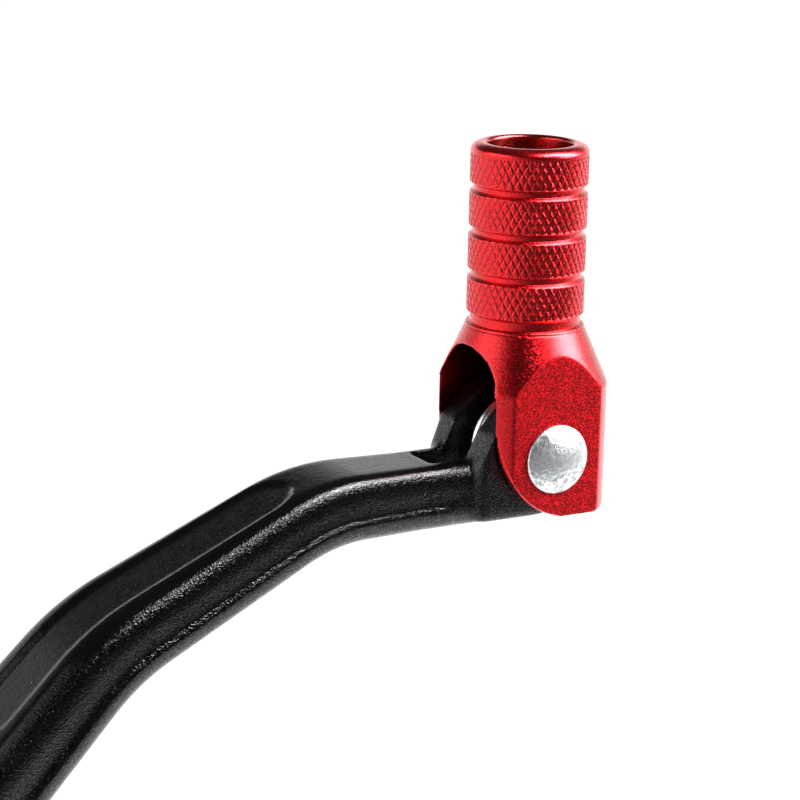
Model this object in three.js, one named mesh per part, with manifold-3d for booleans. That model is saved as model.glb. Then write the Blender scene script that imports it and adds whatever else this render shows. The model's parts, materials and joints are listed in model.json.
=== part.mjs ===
// A motorcycle gear shift lever with a folding toe peg, in millimetres, +Z up.
//
// A forged arm clamps onto the splined gear shaft and rises to a slotted eye. A turned toe peg
// straddles that eye on a rivet, and a torsion spring inside the eye holds the peg upright.
//
// Two frames are used. The bore frame has its origin on the axis of the splined bore, at the
// boss's inboard face, with +Z outboard and +X towards the peg. The pivot frame has the same
// directions and its origin at the centre of the peg's hinge.
import * as THREE from "three";
import { mergeVertices } from "three/addons/utils/BufferGeometryUtils.js";
import Module from "manifold-3d";

// Driving dimensions.
const PIVOT = new THREE.Vector3(128, 0, 60); // the hinge centre, in the bore frame
const SEAT_RADIUS = 9.8; // from the bore's axis to the part's origin, on the boss's face
const REST_GAP = 0.05; // between two pieces that touch on a flat face
const RUN_GAP = 0.3; // between two pieces that turn past each other

const boss = { radius: 13, height: 16, chamfer: 1, teeth: 28, rootRadius: 6.5, tipRadius: 5.9 };
const lug = { boltX: -15.5, radius: 6, halfWidth: 9.5, slit: 2.2 };
const bolt = { radius: 2.9, length: 20, headFlats: 10, headHeight: 4 };
const boltWasher = { outer: 6, inner: 3.2, thickness: 1.6 };

// The arm's centre line is straight runs joined by bends, and it widens towards the boss.
const arm = {
  knees: [
    [0, boss.height / 2],
    [27.3, boss.height / 2],
    [56.9, 38.2],
    [91.5, PIVOT.z - 5.5],
    [PIVOT.x, PIVOT.z - 5.5],
  ],
  bend: 6.5, // how far before and after a knee its bend starts and ends
  bossHalfWidth: 12.2,
  eyeHalfWidth: 7.2,
  bossThickness: 11.4,
  eyeThickness: 9.8,
  steps: 44,
};
const recess = { from: 0.335, to: 0.729, depth: 0.45, halfWidth: 5.3, corner: 4.5, steps: 28 };

const eye = { radius: 9.7, halfWidth: 8.1, rimChamfer: 1.2, boreRadius: 4.9 };
const ramp = { footX: -11.85, slope: 65, topZ: 3.9 };
const springSlot = { nearY: -3, farY: 3.5, endX: -17.6 };

const peg = {
  bottom: -9.3,
  top: 47,
  forkRadius: 13,
  footChamfer: 0.4,
  shoulderZ: 10.4,
  gripRadius: 9,
  coneTopZ: 19.3,
  groove: 0.55,
  firstBandZ: 20.9,
  bandPitch: 6.6,
  bandLength: 5.6,
  bands: 4,
  boreRadius: 6.5,
  boreFloorZ: 21.5,
  flatY: 10.5,
  slotHalfWidth: 8.45,
  archZ: 8,
  wallX: 10,
  heelArc: { x: 4, z: 4, radius: 13.6 },
};
const rivet = { radius: 3, headRadius: 5.3, rim: 0.35, dome: 1.1, tailRadius: 4.6, tail: 1.3 };
const rivetWasher = { outer: 5.8, inner: 3.15, thickness: 1 };
const sleeve = { outer: 4.6, inner: 3.1 };
const spring = { wire: 0.75, coil: 7.7, nearY: -2.15, farY: 1.4, turns: 2, armHole: [-19.4, -5.5] };

const wasm = await Module();
wasm.setup();

// A closed three.js geometry as a solid that can be joined and cut.
function solid(geometry) {
  const loose = geometry.index ? geometry.toNonIndexed() : geometry;
  const bare = new THREE.BufferGeometry();
  bare.setAttribute("position", loose.getAttribute("position"));
  const merged = mergeVertices(bare, 1e-4);
  const vertProperties = merged.getAttribute("position").array;
  const triVerts = new Uint32Array(merged.index.array);
  return new wasm.Manifold(new wasm.Mesh({ numProp: 3, vertProperties, triVerts }));
}

// A solid as a three.js geometry with one normal to each face.
function geometryOf(shape) {
  const { vertProperties, triVerts } = shape.getMesh();
  const shared = new THREE.BufferGeometry();
  shared.setAttribute("position", new THREE.BufferAttribute(vertProperties, 3));
  shared.setIndex(new THREE.BufferAttribute(triVerts, 1));
  const geometry = shared.toNonIndexed();
  geometry.computeVertexNormals();
  return geometry;
}

// A box between two corners.
function box(low, high) {
  const size = high.map((value, i) => value - low[i]);
  const middle = high.map((value, i) => (value + low[i]) / 2);
  return solid(new THREE.BoxGeometry(...size).translate(...middle));
}

// A cylinder along Y from y0 to y1, on an axis through x, z.
function rodY(radius, y0, y1, segments = 40, x = 0, z = 0) {
  const rod = new THREE.CylinderGeometry(radius, radius, y1 - y0, segments);
  return solid(rod.translate(x, (y0 + y1) / 2, z));
}

// A profile of [radius, height] pairs turned about Z.
function turnedZ(profile, segments) {
  const points = profile.map(([radius, z]) => new THREE.Vector2(Math.max(radius, 0), z));
  return solid(new THREE.LatheGeometry(points, segments).rotateX(Math.PI / 2));
}

// A profile of [radius, y] pairs turned about Y.
function turnedY(profile, segments) {
  const points = profile.map(([radius, y]) => new THREE.Vector2(Math.max(radius, 0), y));
  return solid(new THREE.LatheGeometry(points, segments));
}

// An outline drawn in X and Z, as a plate from y0 to y1.
function plateXZ(outline, y0, y1) {
  const plate = new THREE.ExtrudeGeometry(outline, {
    depth: y1 - y0,
    bevelEnabled: false,
    curveSegments: 16,
  });
  return solid(plate.rotateX(Math.PI / 2).translate(0, y1, 0));
}

// The arm's centre line, as a path in X and Z.
function centreLine() {
  const knees = arm.knees.map(([x, z]) => new THREE.Vector2(x, z));
  const path = new THREE.Path();
  path.moveTo(knees[0].x, knees[0].y);
  for (let i = 1; i < knees.length - 1; i += 1) {
    const before = towards(knees[i], knees[i - 1], arm.bend);
    const after = towards(knees[i], knees[i + 1], arm.bend);
    path.lineTo(before.x, before.y);
    path.quadraticCurveTo(knees[i].x, knees[i].y, after.x, after.y);
  }
  path.lineTo(knees.at(-1).x, knees.at(-1).y);
  return path;
}

// The point a given distance from one point towards another.
function towards(from, to, distance) {
  return to.clone().sub(from).setLength(distance).add(from);
}

// How far along the arm's taper a station is: 0 at the boss, 1 where the arm is slimmest.
function taper(t) {
  return THREE.MathUtils.clamp((t - 0.28) / 0.58, 0, 1);
}

function armHalfWidth(t) {
  return THREE.MathUtils.lerp(arm.bossHalfWidth, arm.eyeHalfWidth, taper(t));
}

function armHalfThickness(t) {
  return THREE.MathUtils.lerp(arm.bossThickness, arm.eyeThickness, taper(t)) / 2;
}

// A section in across and up units, swept along the arm's centre line from t0 to t1.
// place(across, up, t) gives the distances from the centre line in millimetres.
function alongArm(section, t0, t1, steps, place) {
  const line = centreLine();
  const sweep = new THREE.ExtrudeGeometry(section, {
    depth: 1,
    steps,
    bevelEnabled: false,
    curveSegments: 3,
  });
  const position = sweep.getAttribute("position");
  for (let i = 0; i < position.count; i += 1) {
    const t = THREE.MathUtils.lerp(t0, t1, position.getZ(i));
    const [y, up] = place(position.getX(i), position.getY(i), t);
    const centre = line.getPoint(t);
    const direction = line.getTangent(t);
    position.setXYZ(i, centre.x - direction.y * up, y, centre.y + direction.x * up);
  }
  return solid(sweep);
}

// The forging's section: a flat top, round shoulders, drafted sides and a rounded underside.
function forgedSection() {
  const section = new THREE.Shape();
  section.moveTo(-0.55, -1);
  section.lineTo(0.55, -1);
  section.quadraticCurveTo(0.97, -0.95, 1, -0.25);
  section.lineTo(0.96, 0.3);
  section.quadraticCurveTo(0.94, 1, 0.62, 1);
  section.lineTo(-0.62, 1);
  section.quadraticCurveTo(-0.94, 1, -0.96, 0.3);
  section.lineTo(-1, -0.25);
  section.quadraticCurveTo(-0.97, -0.95, -0.55, -1);
  return section;
}

function blade() {
  const scale = (across, up, t) => [across * armHalfWidth(t), up * armHalfThickness(t)];
  return alongArm(forgedSection(), 0, 1, arm.steps, scale);
}

// The shallow recess sunk in the arm's top face, with a round end at each end.
function bladeRecess() {
  const section = new THREE.Shape();
  section.moveTo(-1, 0);
  section.lineTo(1, 0);
  section.lineTo(1, 1);
  section.lineTo(-1, 1);
  const length = centreLine().getLength();
  const place = (across, up, t) => {
    const fromEnd = length * Math.min(t - recess.from, recess.to - t);
    const short = 1 - THREE.MathUtils.clamp(fromEnd / recess.corner, 0, 1);
    const half = recess.halfWidth - recess.corner * (1 - Math.sqrt(1 - short * short));
    return [across * half, armHalfThickness(t) - recess.depth + up * 2 * recess.depth];
  };
  return alongArm(section, recess.from, recess.to, recess.steps, place);
}

// The ear's outline above the arm: a straight ramp, a soft corner and the eye's own arc.
function rampOutline() {
  const armTop = arm.knees.at(-1)[1] - PIVOT.z + arm.eyeThickness / 2;
  const run = (ramp.topZ - armTop) / Math.tan(THREE.MathUtils.degToRad(ramp.slope));
  const corner = new THREE.Vector2(ramp.footX + run, ramp.topZ);
  const tangentAngle = corner.angle() - Math.acos(eye.radius / corner.length());
  const outline = new THREE.Shape();
  outline.moveTo(0, -eye.radius);
  outline.lineTo(0, eye.radius);
  outline.absarc(0, 0, eye.radius, Math.PI / 2, tangentAngle, false);
  outline.lineTo(corner.x, corner.y);
  outline.lineTo(ramp.footX, armTop);
  outline.lineTo(ramp.footX, -eye.radius);
  return outline;
}

// The square heel under the eye, which stops the peg at its upright position.
function heelOutline() {
  const { radius } = eye;
  const corner = radius - 1.5;
  const outline = new THREE.Shape();
  outline.moveTo(0, -radius);
  outline.lineTo(corner, -radius);
  outline.lineTo(radius, -corner);
  outline.lineTo(radius, 0);
  outline.lineTo(0, 0);
  return outline;
}

// The eye, in the pivot frame.
function eyeSolid() {
  const { radius, rimChamfer, halfWidth } = eye;
  const flat = halfWidth - rimChamfer;
  const disc = turnedY(
    [
      [0, -halfWidth],
      [radius - rimChamfer, -halfWidth],
      [radius, -flat],
      [radius, flat],
      [radius - rimChamfer, halfWidth],
      [0, halfWidth],
    ],
    56,
  );
  return disc
    .add(plateXZ(rampOutline(), -halfWidth, halfWidth))
    .add(plateXZ(heelOutline(), -flat, flat));
}

// Everything cut out of the eye, in the pivot frame.
function eyeCuts() {
  const slot = box([springSlot.endX, springSlot.nearY, -20], [20, springSlot.farY, 20]);
  const [x, z] = spring.armHole;
  const radius = spring.wire + RUN_GAP;
  const legHole = new THREE.CylinderGeometry(radius, radius, 8, 16);
  legHole.rotateZ(Math.PI / 2).translate(x, spring.nearY, z);
  return slot.add(rodY(eye.boreRadius, -12, 12)).add(solid(legHole));
}

// The clamp boss with its lugs, in the bore frame.
function bossSolid() {
  const { radius, height, chamfer } = boss;
  const hub = turnedZ(
    [
      [0, 0],
      [radius - chamfer, 0],
      [radius, chamfer],
      [radius, height - chamfer],
      [radius - chamfer, height],
      [0, height],
    ],
    64,
  );
  const middle = height / 2;
  const ear = new THREE.Shape();
  ear.moveTo(0, middle - lug.radius);
  ear.lineTo(0, middle + lug.radius);
  ear.lineTo(lug.boltX, middle + lug.radius);
  ear.absarc(lug.boltX, middle, lug.radius, Math.PI / 2, 1.5 * Math.PI, false);
  return hub.add(plateXZ(ear, -lug.halfWidth, lug.halfWidth));
}

// The splined bore, the clamp slit and the pinch bolt's hole.
function bossCuts() {
  const spline = new THREE.Shape();
  const corners = 4 * boss.teeth;
  for (let i = 0; i < corners; i += 1) {
    const radius = i % 4 < 2 ? boss.rootRadius : boss.tipRadius;
    const angle = (2 * Math.PI * i) / corners;
    const point = [radius * Math.cos(angle), radius * Math.sin(angle)];
    if (i === 0) spline.moveTo(...point);
    else spline.lineTo(...point);
  }
  const depth = boss.height + 2;
  const bore = new THREE.ExtrudeGeometry(spline, { depth, bevelEnabled: false });
  const slit = box([-30, -lug.slit / 2, -1], [0, lug.slit / 2, boss.height + 1]);
  const hole = rodY(bolt.radius + RUN_GAP, -12, 12, 32, lug.boltX, boss.height / 2);
  return solid(bore.translate(0, 0, -1)).add(slit).add(hole);
}

function leverArm() {
  const place = [PIVOT.x, PIVOT.y, PIVOT.z];
  return blade()
    .subtract(bladeRecess())
    .add(bossSolid())
    .add(eyeSolid().translate(place))
    .subtract(eyeCuts().translate(place))
    .subtract(bossCuts());
}

// The peg's turned outline, from the fork's foot up the grip and down into the open bore.
function pegProfile() {
  const floor = peg.gripRadius - peg.groove;
  const ease = 0.35;
  const profile = [
    [0, peg.bottom],
    [peg.forkRadius - peg.footChamfer, peg.bottom],
    [peg.forkRadius, peg.bottom + peg.footChamfer],
    [peg.forkRadius, peg.shoulderZ],
    [peg.gripRadius, peg.coneTopZ],
    [floor, peg.coneTopZ + ease],
  ];
  for (let i = 0; i < peg.bands; i += 1) {
    const low = peg.firstBandZ + i * peg.bandPitch;
    const last = i === peg.bands - 1;
    const high = last ? peg.top - 1.4 : low + peg.bandLength;
    profile.push([floor, low - ease / 2], [peg.gripRadius, low + ease]);
    profile.push([peg.gripRadius, high - ease]);
    if (!last) profile.push([floor, high + ease / 2]);
  }
  profile.push([peg.gripRadius - 0.5, peg.top - 0.5], [peg.gripRadius - 1.6, peg.top]);
  profile.push([peg.boreRadius + 0.5, peg.top], [peg.boreRadius, peg.top - 0.5]);
  profile.push([peg.boreRadius, peg.boreFloorZ + 1.5], [0, peg.boreFloorZ]);
  return profile;
}

// The slot that takes the eye: an arch milled in from the arm's side, stopping at the back wall.
function pegSlot() {
  const corner = 1.2;
  const half = peg.slotHalfWidth;
  const arch = new THREE.Shape();
  arch.moveTo(half, -20);
  arch.lineTo(half, peg.archZ);
  arch.absarc(0, peg.archZ, half, 0, Math.PI, false);
  arch.lineTo(-half, -20);
  const slot = new THREE.ExtrudeGeometry(arch, {
    depth: 30 - 2 * corner,
    bevelThickness: corner,
    bevelSize: corner,
    bevelOffset: -corner,
    bevelSegments: 1,
    curveSegments: 20,
  });
  const standing = slot.rotateX(Math.PI / 2).rotateZ(Math.PI / 2);
  standing.computeBoundingBox();
  return solid(standing.translate(peg.wallX - standing.boundingBox.max.x, 0, 0));
}

// The arc that clears the arm below the fork's open side as the peg folds.
function pegHeelCut() {
  const { x, z, radius } = peg.heelArc;
  const cut = new THREE.Shape();
  cut.moveTo(-30, z);
  cut.lineTo(x - radius, z);
  cut.absarc(x, z, radius, Math.PI, 1.5 * Math.PI, false);
  cut.lineTo(x, -30);
  cut.lineTo(-30, -30);
  return plateXZ(cut, -20, 20);
}

// The peg, in the pivot frame.
function toePeg() {
  const flats = box([-20, peg.flatY, -20], [20, 20, 20]);
  const otherFlat = box([-20, -20, -20], [20, -peg.flatY, 20]);
  const radius = spring.wire + RUN_GAP;
  const legHole = new THREE.CylinderGeometry(radius, radius, 7, 16);
  legHole.rotateX(Math.PI / 2).translate(spring.coil, spring.farY, 16.5);
  return turnedZ(pegProfile(), 52)
    .subtract(flats)
    .subtract(otherFlat)
    .subtract(pegSlot())
    .subtract(pegHeelCut())
    .subtract(rodY(rivet.radius + 0.1, -14, 14))
    .subtract(solid(legHole));
}

// The rivet: a domed head on the near cheek, a shank, and a tail peened over the washer.
function pivotRivet() {
  const headY = -peg.flatY - REST_GAP;
  const tailY = peg.flatY + 2 * REST_GAP + rivetWasher.thickness;
  const { radius, headRadius, rim, dome, tailRadius, tail } = rivet;
  return turnedY(
    [
      [0, headY - rim - dome],
      [headRadius * 0.55, headY - rim - dome * 0.75],
      [headRadius, headY - rim],
      [headRadius, headY],
      [radius, headY],
      [radius, tailY],
      [tailRadius, tailY],
      [tailRadius - 0.4, tailY + tail * 0.6],
      [tailRadius * 0.5, tailY + tail],
      [0, tailY + tail],
    ],
    40,
  );
}

// A flat ring about Y, from y0 to y1.
function ringY(outer, inner, y0, y1, x = 0, z = 0) {
  return rodY(outer, y0, y1, 40, x, z).subtract(rodY(inner, y0 - 1, y1 + 1, 40, x, z));
}

// The wire's centre line: a leg into the arm, the coils about Y, and a leg up into the peg.
class SpringCurve extends THREE.Curve {
  constructor() {
    super();
    const [x, z] = spring.armHole;
    this.start = Math.atan2(z, x) + 2 * Math.PI + Math.acos(spring.coil / Math.hypot(x, z));
    this.end = 2 * Math.PI * (spring.turns + 1);
    this.turning = this.end - this.start;
  }

  onCoil(angle) {
    const share = (angle - this.start) / this.turning;
    const y = THREE.MathUtils.lerp(spring.nearY, spring.farY, share);
    const { coil } = spring;
    return new THREE.Vector3(coil * Math.cos(angle), y, coil * Math.sin(angle));
  }

  getPoint(t, target = new THREE.Vector3()) {
    const [x, z] = spring.armHole;
    const legShare = 0.14;
    if (t < legShare) {
      const inArm = new THREE.Vector3(x, spring.nearY, z);
      return target.copy(inArm.lerp(this.onCoil(this.start), t / legShare));
    }
    if (t > 1 - legShare) {
      const rise = (18.6 * (t - 1 + legShare)) / legShare;
      return target.set(spring.coil, spring.farY, rise);
    }
    const share = (t - legShare) / (1 - 2 * legShare);
    return target.copy(this.onCoil(this.start + share * this.turning));
  }
}

function torsionSpring() {
  const wire = new THREE.Shape();
  wire.absarc(0, 0, spring.wire, 0, 2 * Math.PI, false);
  const extrudePath = new SpringCurve();
  return solid(
    new THREE.ExtrudeGeometry(wire, { extrudePath, steps: 110, curveSegments: 5 }),
  );
}

// The pinch bolt along Y, with its head on the near lug, in the bore frame.
function pinchBolt() {
  const z = boss.height / 2;
  const underHead = -lug.halfWidth - 2 * REST_GAP - boltWasher.thickness;
  const shank = rodY(bolt.radius, underHead - 1, underHead + bolt.length, 32, lug.boltX, z);
  const corner = bolt.headFlats / Math.sqrt(3);
  const head = rodY(corner, underHead - bolt.headHeight, underHead, 6, lug.boltX, z);
  return shank.add(head);
}

function pinchWasher() {
  const { outer, inner, thickness } = boltWasher;
  const y = -lug.halfWidth - REST_GAP;
  return ringY(outer, inner, y - thickness, y, lug.boltX, boss.height / 2);
}

function rivetWasherSolid() {
  const y = peg.flatY + REST_GAP;
  return ringY(rivetWasher.outer, rivetWasher.inner, y, y + rivetWasher.thickness);
}

function pivotSleeve() {
  const half = peg.slotHalfWidth - 2 * REST_GAP;
  return ringY(sleeve.outer, sleeve.inner, -half, half);
}

// A named mesh of one piece.
function piece(name, shape, material) {
  const mesh = new THREE.Mesh(geometryOf(shape), new THREE.MeshStandardMaterial(material));
  mesh.name = name;
  return mesh;
}

const blackPaint = { color: 0x141416, roughness: 0.45, metalness: 0.3 };
const redAnodised = { color: 0x8e1220, roughness: 0.4, metalness: 0.9 };
const steel = { color: 0xb8b8ba, roughness: 0.3, metalness: 1 };

const atPivot = new THREE.Group();
atPivot.position.copy(PIVOT);
atPivot.add(
  piece("toe_peg", toePeg(), redAnodised),
  piece("pivot_rivet", pivotRivet(), steel),
  piece("rivet_washer", rivetWasherSolid(), steel),
  piece("pivot_sleeve", pivotSleeve(), steel),
  piece("torsion_spring", torsionSpring(), steel),
);

const atBore = new THREE.Group();
atBore.position.x = -SEAT_RADIUS;
atBore.add(
  piece("lever_arm", leverArm(), blackPaint),
  piece("pinch_bolt", pinchBolt(), steel),
  piece("pinch_washer", pinchWasher(), steel),
  atPivot,
);

const lever = new THREE.Group();
lever.add(atBore);

export default lever;
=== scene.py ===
"""A motorcycle gear shift lever with a folding toe peg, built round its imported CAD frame.

Shapes are worked out in millimetres in one of two frames, both with the row's directions: the
bore frame, on the axis of the splined bore at the boss's inboard face, and the pivot frame, at
the centre of the peg's hinge. place() puts a finished mesh into the row frame in metres.
"""
import json
import math

import bpy
import numpy as np
from mathutils import Matrix, Vector


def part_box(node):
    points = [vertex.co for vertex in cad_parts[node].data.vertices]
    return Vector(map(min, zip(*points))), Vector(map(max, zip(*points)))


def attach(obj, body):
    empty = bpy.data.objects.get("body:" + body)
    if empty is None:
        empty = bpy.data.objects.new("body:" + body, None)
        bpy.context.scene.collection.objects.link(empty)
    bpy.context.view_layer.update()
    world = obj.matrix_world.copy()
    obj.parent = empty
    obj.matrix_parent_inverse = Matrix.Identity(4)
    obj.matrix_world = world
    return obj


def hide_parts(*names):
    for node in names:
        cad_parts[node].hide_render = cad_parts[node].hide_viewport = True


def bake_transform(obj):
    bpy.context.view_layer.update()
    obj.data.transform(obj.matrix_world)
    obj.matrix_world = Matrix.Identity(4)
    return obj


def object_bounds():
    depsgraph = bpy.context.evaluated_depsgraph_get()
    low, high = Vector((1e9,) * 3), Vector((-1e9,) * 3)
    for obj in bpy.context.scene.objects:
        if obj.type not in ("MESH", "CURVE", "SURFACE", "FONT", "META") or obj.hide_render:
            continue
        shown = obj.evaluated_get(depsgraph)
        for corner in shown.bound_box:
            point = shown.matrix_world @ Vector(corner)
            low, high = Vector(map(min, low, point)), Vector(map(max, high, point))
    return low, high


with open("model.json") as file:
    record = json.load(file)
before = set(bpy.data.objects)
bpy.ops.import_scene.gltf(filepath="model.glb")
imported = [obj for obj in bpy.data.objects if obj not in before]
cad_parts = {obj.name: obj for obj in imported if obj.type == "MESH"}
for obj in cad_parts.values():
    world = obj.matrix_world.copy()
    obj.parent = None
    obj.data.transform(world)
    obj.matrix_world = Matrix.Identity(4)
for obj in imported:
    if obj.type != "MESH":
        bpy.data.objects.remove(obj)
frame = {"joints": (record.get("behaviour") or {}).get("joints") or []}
cad_low, cad_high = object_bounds()

MM = 0.001
PIVOT = Vector(frame["joints"][0]["pos_m"])
BOLT_LOW, BOLT_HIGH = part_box("pinch_bolt")
BOLT_TO_BORE = 15.5
BORE = Vector(((BOLT_LOW.x + BOLT_HIGH.x) / 2 + BOLT_TO_BORE * MM, 0, 0))
HINGE = (PIVOT - BORE) / MM  # the pivot in the bore frame, in millimetres

# The forged arm, in the bore frame. Shares are of its centre line's length, from boss to eye.
KNEES = ((0, 8), (27.3, 8), (56.9, 38.2), (91.5, 54.6), (128, 54.6))  # X and Z
BEND = 6.5  # from a knee to where its bend starts
HALF_WIDTHS = (12.2, 7.2)  # at the boss and at the eye
THICKNESSES = (12.0, 9.9)
TAPER_START, TAPER_LENGTH = 0.28, 0.58  # shares
RECESS = (0.335, 0.729)  # shares
RECESS_HALF_WIDTH = 5.0
RECESS_DEPTH = 0.45
ARM_VOXEL = 0.32

# The arm's clamp boss, in the bore frame.
BOSS_RADIUS = 13.0
BOSS_HEIGHT = 16.0
LUG_HALF_WIDTH = 9.5
LUG_RADIUS = 6.0
SLIT_HALF_WIDTH = 1.1
BOLT_HOLE_RADIUS = 3.2

# The arm's eye, in the pivot frame.
EYE_RADIUS = 9.7
EYE_HALF_WIDTH = 8.1
EYE_BORE_RADIUS = 4.9
EYE_CHAMFER = 1.2
RAMP_FOOT_X, RAMP_SLOPE, RAMP_TOP_Z = -11.85, 65, 3.9  # the slope in degrees
EAR_SLOT_Y = (-3.0, 3.5)
EAR_SLOT_END = -17.6

# The toe peg, in the pivot frame.
FORK_RADIUS = 13.0
GRIP_RADIUS = 9.0
PEG_BOTTOM, PEG_TOP = -9.3, 47.0
SHOULDER_Z, CONE_TOP_Z = 10.4, 19.3
GROOVE_DEPTH = 0.55
FIRST_BAND_Z, BAND_PITCH, BAND_LENGTH, BANDS = 20.9, 6.6, 5.6, 4
PEG_BORE_RADIUS, PEG_BORE_FLOOR = 6.5, 21.5
RIM = (1.9, 1.25)  # how far its round goes in and down
FLAT_Y, FLAT_TOP_Z = 10.5, 18.5
SLOT_HALF, ARCH_Z, BACK_WALL_X = 8.45, 8.0, 10.0
CORNER_CENTRE, CORNER_RADIUS = 4.0, 13.6  # the round under the fork, on the arm's side
FORK_VOXEL = 0.25
KNURL_LINES = 45
KNURL_RISE = 2.18  # how far a line climbs over one line's spacing
KNURL_DEPTH = 0.12
KNURL_LAND, KNURL_WALL = 0.68, 0.28  # shares of the half spacing

# The hinge's fastenings.
RIVET_HOLE_RADIUS = 3.1
RIVET_SHANK_RADIUS = 3.0
RIVET_HEAD_RADIUS, RIVET_DOME, RIVET_RIM = 5.3, 1.1, 0.35
RIVET_TAIL_RADIUS = 4.6
RIVET_WASHER_RADII = (5.8, 3.15)
SLEEVE_RADII = (4.6, 3.1)

# The spring: wire and coil radius, where its coils start and end, and its two legs.
WIRE, COIL, SPRING_TURNS = 0.72, 7.7, 2
SPRING_NEAR_Y, SPRING_FAR_Y = -2.15, 1.4
ARM_LEG_END = (-19.4, -5.5)  # X and Z
PEG_LEG_TOP = 18.6

# The M6 pinch bolt, with a pitch of 1 mm, and its washer.
HEAD_HEIGHT, HEAD_APOTHEM = 4.0, 5.0
THREAD_RADIUS, THREAD_DEPTH = 2.92, 0.32
BOLT_WASHER_RADII = (6.0, 3.2)


# ---------------------------------------------------------------- mesh tools

def mesh_object(name, points, faces):
    """An object from points and faces."""
    mesh = bpy.data.meshes.new(name)
    mesh.from_pydata(np.asarray(points, float).tolist(), [], faces)
    mesh.validate()
    mesh.update()
    obj = bpy.data.objects.new(name, mesh)
    bpy.context.scene.collection.objects.link(obj)
    return obj


def tube(name, rings, closed=False):
    """A skin over rings of points, with a flat cap at each end unless it closes on itself."""
    rings = np.asarray(rings, float)
    count, size = rings.shape[:2]
    faces = []
    for i in range(count if closed else count - 1):
        a, b = i * size, (i + 1) % count * size
        for j in range(size):
            k = (j + 1) % size
            faces.append((a + j, a + k, b + k, b + j))
    if not closed:
        faces.append(tuple(reversed(range(size))))
        faces.append(tuple(range((count - 1) * size, count * size)))
    return mesh_object(name, rings.reshape(-1, 3), faces)


def lathe(name, profile, segments=128, axis="Z"):
    """A profile of (radius, height) pairs turned about an axis; its ends are on the axis."""
    angles = np.arange(segments) * 2 * math.pi / segments
    points, rows = [], []
    for radius, height in profile:
        if radius < 1e-6:
            rows.append([len(points)] * segments)
            points.append((0, 0, height))
        else:
            rows.append(list(range(len(points), len(points) + segments)))
            points += [(radius * math.cos(a), radius * math.sin(a), height) for a in angles]
    faces = []
    for low, high in zip(rows, rows[1:]):
        for j in range(segments):
            k = (j + 1) % segments
            corners = [low[j], low[k], high[k], high[j]]
            face = [c for i, c in enumerate(corners) if c != corners[i - 1]]
            if len(face) > 2:
                faces.append(face)
    obj = mesh_object(name, points, faces)
    if axis == "Y":
        obj.data.transform(Matrix.Rotation(-math.pi / 2, 4, "X"))
    return obj


def plate(name, outline, y0, y1):
    """An outline in X and Z, counterclockwise seen from -Y, as a plate from y0 to y1."""
    rings = [[(x, y, z) for x, z in outline] for y in (y0, y1)]
    obj = tube(name, rings)
    obj.data.flip_normals()
    return obj


def box(name, low, high):
    """A box between two corners."""
    outline = [(low[0], low[2]), (high[0], low[2]), (high[0], high[2]), (low[0], high[2])]
    return plate(name, outline, low[1], high[1])


def rod_y(name, radius, half_length, x=0.0, z=0.0):
    """A cylinder along Y, as long on either side of Y = 0."""
    return plate(name, arc((x, z), radius, 0, 2 * math.pi, 96)[:-1], -half_length, half_length)


def arc(centre, radius, start, end, steps):
    """Points along an arc, both ends included."""
    angles = np.linspace(start, end, steps + 1)
    return [(centre[0] + radius * math.cos(a), centre[1] + radius * math.sin(a)) for a in angles]


def bake(obj):
    """Applies an object's modifiers."""
    graph = bpy.context.evaluated_depsgraph_get()
    mesh = bpy.data.meshes.new_from_object(obj.evaluated_get(graph))
    obj.modifiers.clear()
    obj.data = mesh


def combine(obj, other, operation):
    """Joins or cuts obj with other, and removes other."""
    modifier = obj.modifiers.new("combine", "BOOLEAN")
    modifier.operation = operation
    modifier.object = other
    modifier.solver = "EXACT"
    bake(obj)
    bpy.data.objects.remove(other)


def remesh(obj, voxel):
    """Rebuilds the skin with even quads, which rounds each edge a little."""
    modifier = obj.modifiers.new("remesh", "REMESH")
    modifier.mode = "VOXEL"
    modifier.voxel_size = voxel
    bake(obj)


def coordinates(obj):
    """An object's points as an array of rows."""
    points = np.zeros(len(obj.data.vertices) * 3)
    obj.data.vertices.foreach_get("co", points)
    return points.reshape(-1, 3)


def relax(obj, rounds, weight=None):
    """Moves each point towards the middle of its neighbours, by its own share."""
    points = coordinates(obj)
    edges = np.zeros(len(obj.data.edges) * 2, np.int64)
    obj.data.edges.foreach_get("vertices", edges)
    first, second = edges.reshape(-1, 2).T
    count = len(points)
    degree = np.bincount(first, minlength=count) + np.bincount(second, minlength=count)
    share = 0.5 if weight is None else 0.5 * weight(points)[:, None]
    for _ in range(rounds):
        total = np.empty_like(points)
        for axis in range(3):
            column = points[:, axis]
            total[:, axis] = np.bincount(first, column[second], count)
            total[:, axis] += np.bincount(second, column[first], count)
        points += share * (total / np.maximum(degree, 1)[:, None] - points)
    obj.data.vertices.foreach_set("co", points.ravel())
    obj.data.update()


def place(obj, origin, body, nodes, material, smooth_angle=None):
    """Puts a piece made in millimetres about origin into the row frame, and on its body."""
    obj.data.transform(Matrix.Translation(origin) @ Matrix.Scale(MM, 4))
    obj.data.materials.clear()
    obj.data.materials.append(material)
    obj.data.polygons.foreach_set("use_smooth", [True] * len(obj.data.polygons))
    if smooth_angle:
        obj.data.set_sharp_from_angle(angle=math.radians(smooth_angle))
    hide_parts(*nodes)
    if body:
        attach(obj, body)
    return obj


# ---------------------------------------------------------------- the arm

def bezier(a, b, c, steps):
    """Points along a quadratic curve, without its last."""
    t = np.linspace(0, 1, steps, endpoint=False)[:, None]
    a, b, c = np.array(a, float), np.array(b, float), np.array(c, float)
    return (1 - t) ** 2 * a + 2 * t * (1 - t) * b + t ** 2 * c


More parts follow.
